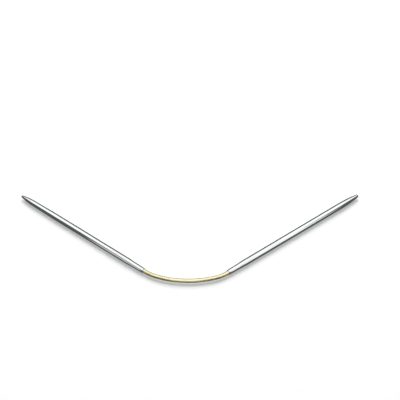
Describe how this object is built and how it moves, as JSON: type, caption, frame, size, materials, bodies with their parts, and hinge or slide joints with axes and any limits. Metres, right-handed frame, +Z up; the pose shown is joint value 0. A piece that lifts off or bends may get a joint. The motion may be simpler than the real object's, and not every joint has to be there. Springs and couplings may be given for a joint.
{
  "type": "circular knitting needle",
  "caption": "Short fixed circular knitting needle: polished metal shafts, a fine and a standard point, and a flexible pale gold cord swaged between them.",
  "frame": {"origin": "on the surface the needle lies on, under the middle of the two shafts' box", "axes": "+Z up, +X along the needle from the fine-pointed left shaft to the right shaft, +Y towards the open side of the V between the shafts"},
  "size_m": [0.1692, 0.0598, 0.0033],
  "materials": {
    "plated_brass": "polished nickel plate on brass tube",
    "cord_jacket": "smooth, slightly glossy pale gold nylon",
    "core_wire": "stranded steel wire, hidden",
    "glue": "set epoxy, hidden"
  },
  "bodies": {
    "left_needle": {"left_shaft": "plated_brass", "left_anchored_jacket": "cord_jacket", "left_anchored_core": "core_wire", "left_glue_plug": "glue"},
    "left_cord": {"left_cord_jacket": "cord_jacket", "left_cord_core": "core_wire"},
    "right_cord": {"right_cord_jacket": "cord_jacket", "right_cord_core": "core_wire"},
    "right_needle": {"right_shaft": "plated_brass", "right_anchored_jacket": "cord_jacket", "right_anchored_core": "core_wire", "right_glue_plug": "glue"}
  },
  "joints": [
    {"name": "left_join_bend", "type": "hinge", "parent": "left_needle", "child": "left_cord", "pos_m": [-0.02202, -0.02565, 0.00162], "axis": [0, 0, 1], "range_deg": [-20, 30], "stiffness_Nm_per_rad": 0.03},
    {"name": "middle_bend", "type": "hinge", "parent": "left_cord", "child": "right_cord", "pos_m": [-0.00155, -0.03168, 0.00162], "axis": [0, 0, 1], "range_deg": [-39, 45], "stiffness_Nm_per_rad": 0.02},
    {"name": "right_join_bend", "type": "hinge", "parent": "right_cord", "child": "right_needle", "pos_m": [0.01811, -0.02684, 0.00162], "axis": [0, 0, 1], "range_deg": [-20, 30], "stiffness_Nm_per_rad": 0.03}
  ]
}
